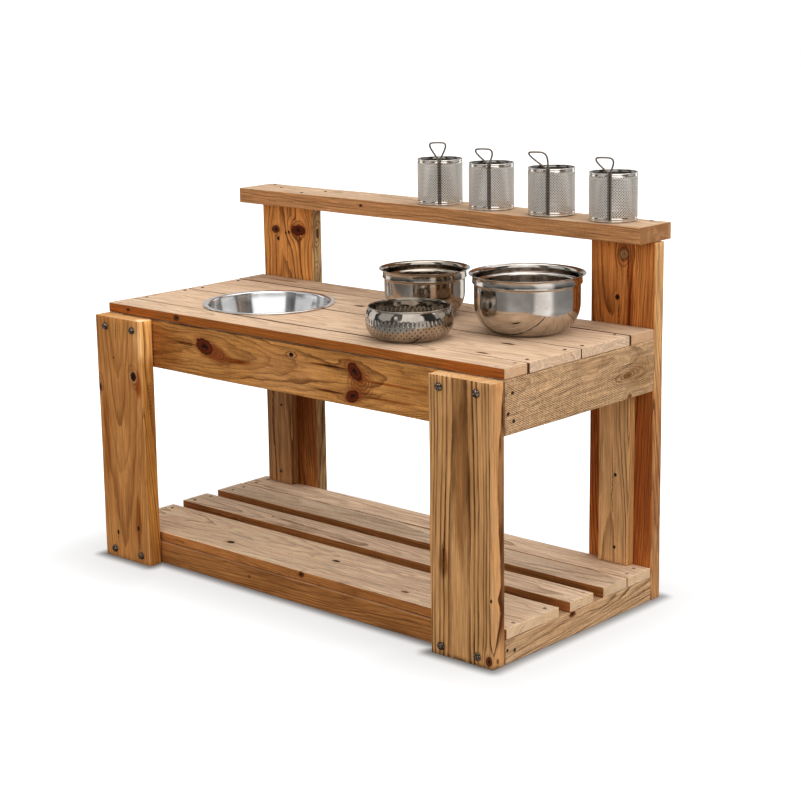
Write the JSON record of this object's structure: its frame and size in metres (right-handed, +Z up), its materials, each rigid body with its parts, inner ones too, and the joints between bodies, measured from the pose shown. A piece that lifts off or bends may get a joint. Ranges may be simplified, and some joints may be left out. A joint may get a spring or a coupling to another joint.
{
  "type": "mud kitchen",
  "caption": "Children's pine mud kitchen: boarded worktop with a sunken steel bowl, slatted deck, raised rear shelf, loose mixing bowls and small wire baskets.",
  "frame": {"origin": "middle of the bounding box at floor level", "axes": "+X to the right along the worktop seen from the front, +Y to the back, +Z up"},
  "size_m": [1.018, 0.5192, 0.8193],
  "materials": {
    "pine": "planed softwood with a warm brown treatment, knots and open end grain",
    "dark_pine": "planed softwood, redder and darker treatment",
    "pale_board": "sun-bleached pale softwood boards, dry surface",
    "zinc_steel": "dull zinc-plated coach screws",
    "brushed_bowl_steel": "satin stainless steel, spun",
    "polished_bowl_steel": "bright stainless steel with faint brushing",
    "basket_steel": "stainless steel wire mesh and bands"
  },
  "bodies": {
    "stand": {"upper_front_rail": "pine", "upper_back_rail": "pine", "upper_side_rail_left": "pine", "upper_side_rail_right": "pine", "lower_front_rail": "pine", "lower_back_rail": "pine", "lower_side_rail_left": "pine", "lower_side_rail_right": "pine", "front_leg_left": "pine", "front_leg_right": "pine", "rear_post_left": "dark_pine", "rear_post_right": "dark_pine", "worktop_board_front": "pale_board", "worktop_board_sink_front": "pale_board", "worktop_board_sink_back": "pale_board", "worktop_board_back": "pale_board", "deck_slat_front": "pale_board", "deck_slat_second": "pale_board", "deck_slat_third": "pale_board", "deck_slat_back": "pale_board", "batten_left": "pine", "batten_right": "pine", "shelf_board": "pine", "coach_screw_front_leg_left_foot_left": "zinc_steel", "coach_screw_front_leg_left_foot_right": "zinc_steel", "coach_screw_front_leg_left_head_left": "zinc_steel", "coach_screw_front_leg_left_head_right": "zinc_steel", "coach_screw_front_leg_right_foot_left": "zinc_steel", "coach_screw_front_leg_right_foot_right": "zinc_steel", "coach_screw_front_leg_right_head_left": "zinc_steel", "coach_screw_front_leg_right_head_right": "zinc_steel", "coach_screw_rear_post_left_foot_left": "zinc_steel", "coach_screw_rear_post_left_foot_right": "zinc_steel", "coach_screw_rear_post_left_head_left": "zinc_steel", "coach_screw_rear_post_left_head_right": "zinc_steel", "coach_screw_rear_post_right_foot_left": "zinc_steel", "coach_screw_rear_post_right_foot_right": "zinc_steel", "coach_screw_rear_post_right_head_left": "zinc_steel", "coach_screw_rear_post_right_head_right": "zinc_steel"},
    "sink_bowl": {"sink_bowl": "brushed_bowl_steel"},
    "large_mixing_bowl": {"large_mixing_bowl": "polished_bowl_steel"},
    "small_mixing_bowl": {"small_mixing_bowl": "polished_bowl_steel"},
    "hammered_bowl": {"hammered_bowl": "polished_bowl_steel"},
    "basket_1": {"basket_1_base_pan": "basket_steel", "basket_1_top_band": "basket_steel", "basket_1_mesh": "basket_steel", "basket_1_handle": "basket_steel"},
    "basket_2": {"basket_2_base_pan": "basket_steel", "basket_2_top_band": "basket_steel", "basket_2_mesh": "basket_steel", "basket_2_handle": "basket_steel"},
    "basket_3": {"basket_3_base_pan": "basket_steel", "basket_3_top_band": "basket_steel", "basket_3_mesh": "basket_steel", "basket_3_handle": "basket_steel"},
    "basket_4": {"basket_4_base_pan": "basket_steel", "basket_4_top_band": "basket_steel", "basket_4_mesh": "basket_steel", "basket_4_handle": "basket_steel"}
  },
  "joints": [
    {"name": "lift_sink_bowl", "type": "slide", "parent": "stand", "child": "sink_bowl", "axis": [0, 0, 1], "range_m": [0, 0.12]},
    {"name": "lift_large_mixing_bowl", "type": "slide", "parent": "stand", "child": "large_mixing_bowl", "axis": [0, 0, 1], "range_m": [0, 0.15]},
    {"name": "lift_small_mixing_bowl", "type": "slide", "parent": "stand", "child": "small_mixing_bowl", "axis": [0, 0, 1], "range_m": [0, 0.15]},
    {"name": "lift_hammered_bowl", "type": "slide", "parent": "stand", "child": "hammered_bowl", "axis": [0, 0, 1], "range_m": [0, 0.15]},
    {"name": "lift_basket_1", "type": "slide", "parent": "stand", "child": "basket_1", "axis": [0, 0, 1], "range_m": [0, 0.15]},
    {"name": "lift_basket_2", "type": "slide", "parent": "stand", "child": "basket_2", "axis": [0, 0, 1], "range_m": [0, 0.15]},
    {"name": "lift_basket_3", "type": "slide", "parent": "stand", "child": "basket_3", "axis": [0, 0, 1], "range_m": [0, 0.15]},
    {"name": "lift_basket_4", "type": "slide", "parent": "stand", "child": "basket_4", "axis": [0, 0, 1], "range_m": [0, 0.15]}
  ]
}
